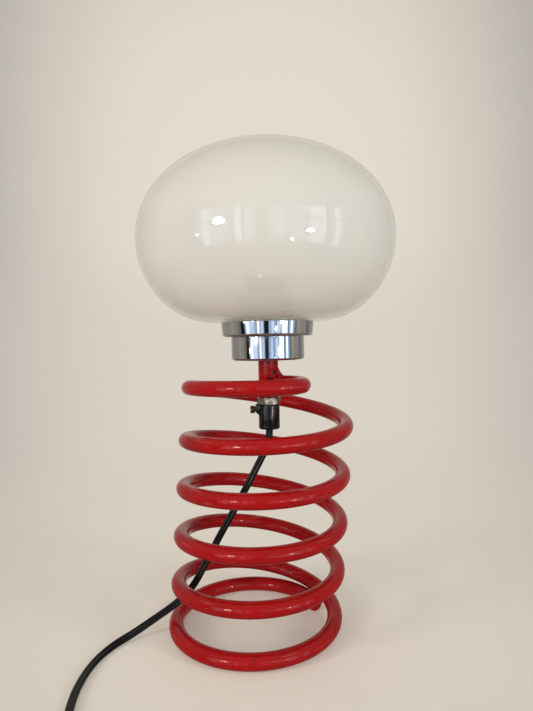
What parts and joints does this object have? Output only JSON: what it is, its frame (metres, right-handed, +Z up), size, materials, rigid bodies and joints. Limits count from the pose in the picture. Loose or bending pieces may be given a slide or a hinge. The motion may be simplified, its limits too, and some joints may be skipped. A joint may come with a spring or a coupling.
{
  "type": "table lamp",
  "caption": "Table lamp with a base wound from round red bar, a chrome collar, an oblate milky glass globe and a black cord with switch and plug.",
  "frame": {"origin": "on the floor under the foot ring, on the axis shared by the post, the chrome cups and the globe", "axes": "+Z up along the post; +X to the right and +Y away from someone facing the lamp from the picture's side"},
  "size_m": [0.2024, 0.3013, 0.323],
  "materials": {
    "red_paint": "gloss red stove paint with fine scratches and chips",
    "chrome": "polished chrome plate",
    "zinc_steel": "dull yellowed zinc plate",
    "gasket_rubber": "black rubber",
    "milk_glass": "glossy blown opal glass, milky and slightly see-through",
    "socket_plastic": "white thermoplastic, aged",
    "socket_ceramic": "unglazed white ceramic",
    "brass": "plain brass",
    "solder": "solder",
    "bulb_insulator": "black glass insulator",
    "cap_metal": "bright rolled aluminium",
    "bulb_glass": "white coated glass",
    "black_plastic": "black moulded plastic",
    "dark_screw": "browned steel",
    "pin_metal": "nickel plated brass with black sleeves",
    "cord_cover": "black PVC, slightly glossy",
    "tie_fabric": "black hook-and-loop strap",
    "wire_brown": "brown PVC",
    "wire_blue": "blue PVC"
  },
  "bodies": {
    "lamp": {"coil_base": "red_paint", "top_weld": "red_paint", "foot_weld": "red_paint", "post_sleeve": "red_paint", "threaded_tube": "zinc_steel", "lower_washer": "zinc_steel", "lower_nut": "zinc_steel", "inner_nut": "zinc_steel", "chrome_cup": "chrome", "gallery_ring": "chrome", "neck_gasket": "gasket_rubber", "socket_base": "socket_plastic", "socket_skirt": "socket_plastic", "socket_core": "socket_ceramic", "screw_shell": "brass", "centre_contact": "brass", "grip_body": "black_plastic", "grip_screw": "dark_screw", "switch_upper": "black_plastic", "switch_lower": "black_plastic", "switch_screw_left": "zinc_steel", "switch_screw_right": "zinc_steel", "plug_body": "black_plastic", "plug_relief": "black_plastic", "plug_pin_left": "pin_metal", "plug_pin_right": "pin_metal", "cord_run": "cord_cover", "cord_mid": "cord_cover", "cord_tail": "cord_cover", "cord_coil": "cord_cover", "cord_tie": "tie_fabric", "wire_left": "wire_brown", "wire_right": "wire_blue"},
    "globe": {"globe": "milk_glass"},
    "bulb": {"bulb_cap": "cap_metal", "bulb_glass": "bulb_glass", "bulb_contact": "solder", "bulb_insulator": "bulb_insulator"},
    "switch_key": {"switch_rocker": "black_plastic"}
  },
  "joints": [
    {"name": "globe_lift", "type": "slide", "parent": "lamp", "child": "globe", "axis": [0, 0, 1], "range_m": [0, 0.13]},
    {"name": "bulb_unscrew", "type": "slide", "parent": "lamp", "child": "bulb", "axis": [0, 0, 1], "range_m": [0, 0.026]},
    {"name": "switch_rock", "type": "hinge", "parent": "lamp", "child": "switch_key", "pos_m": [-0.066, -0.158, 0.0126], "axis": [0.766, 0.6428, 0], "range_deg": [-16, 0]}
  ]
}
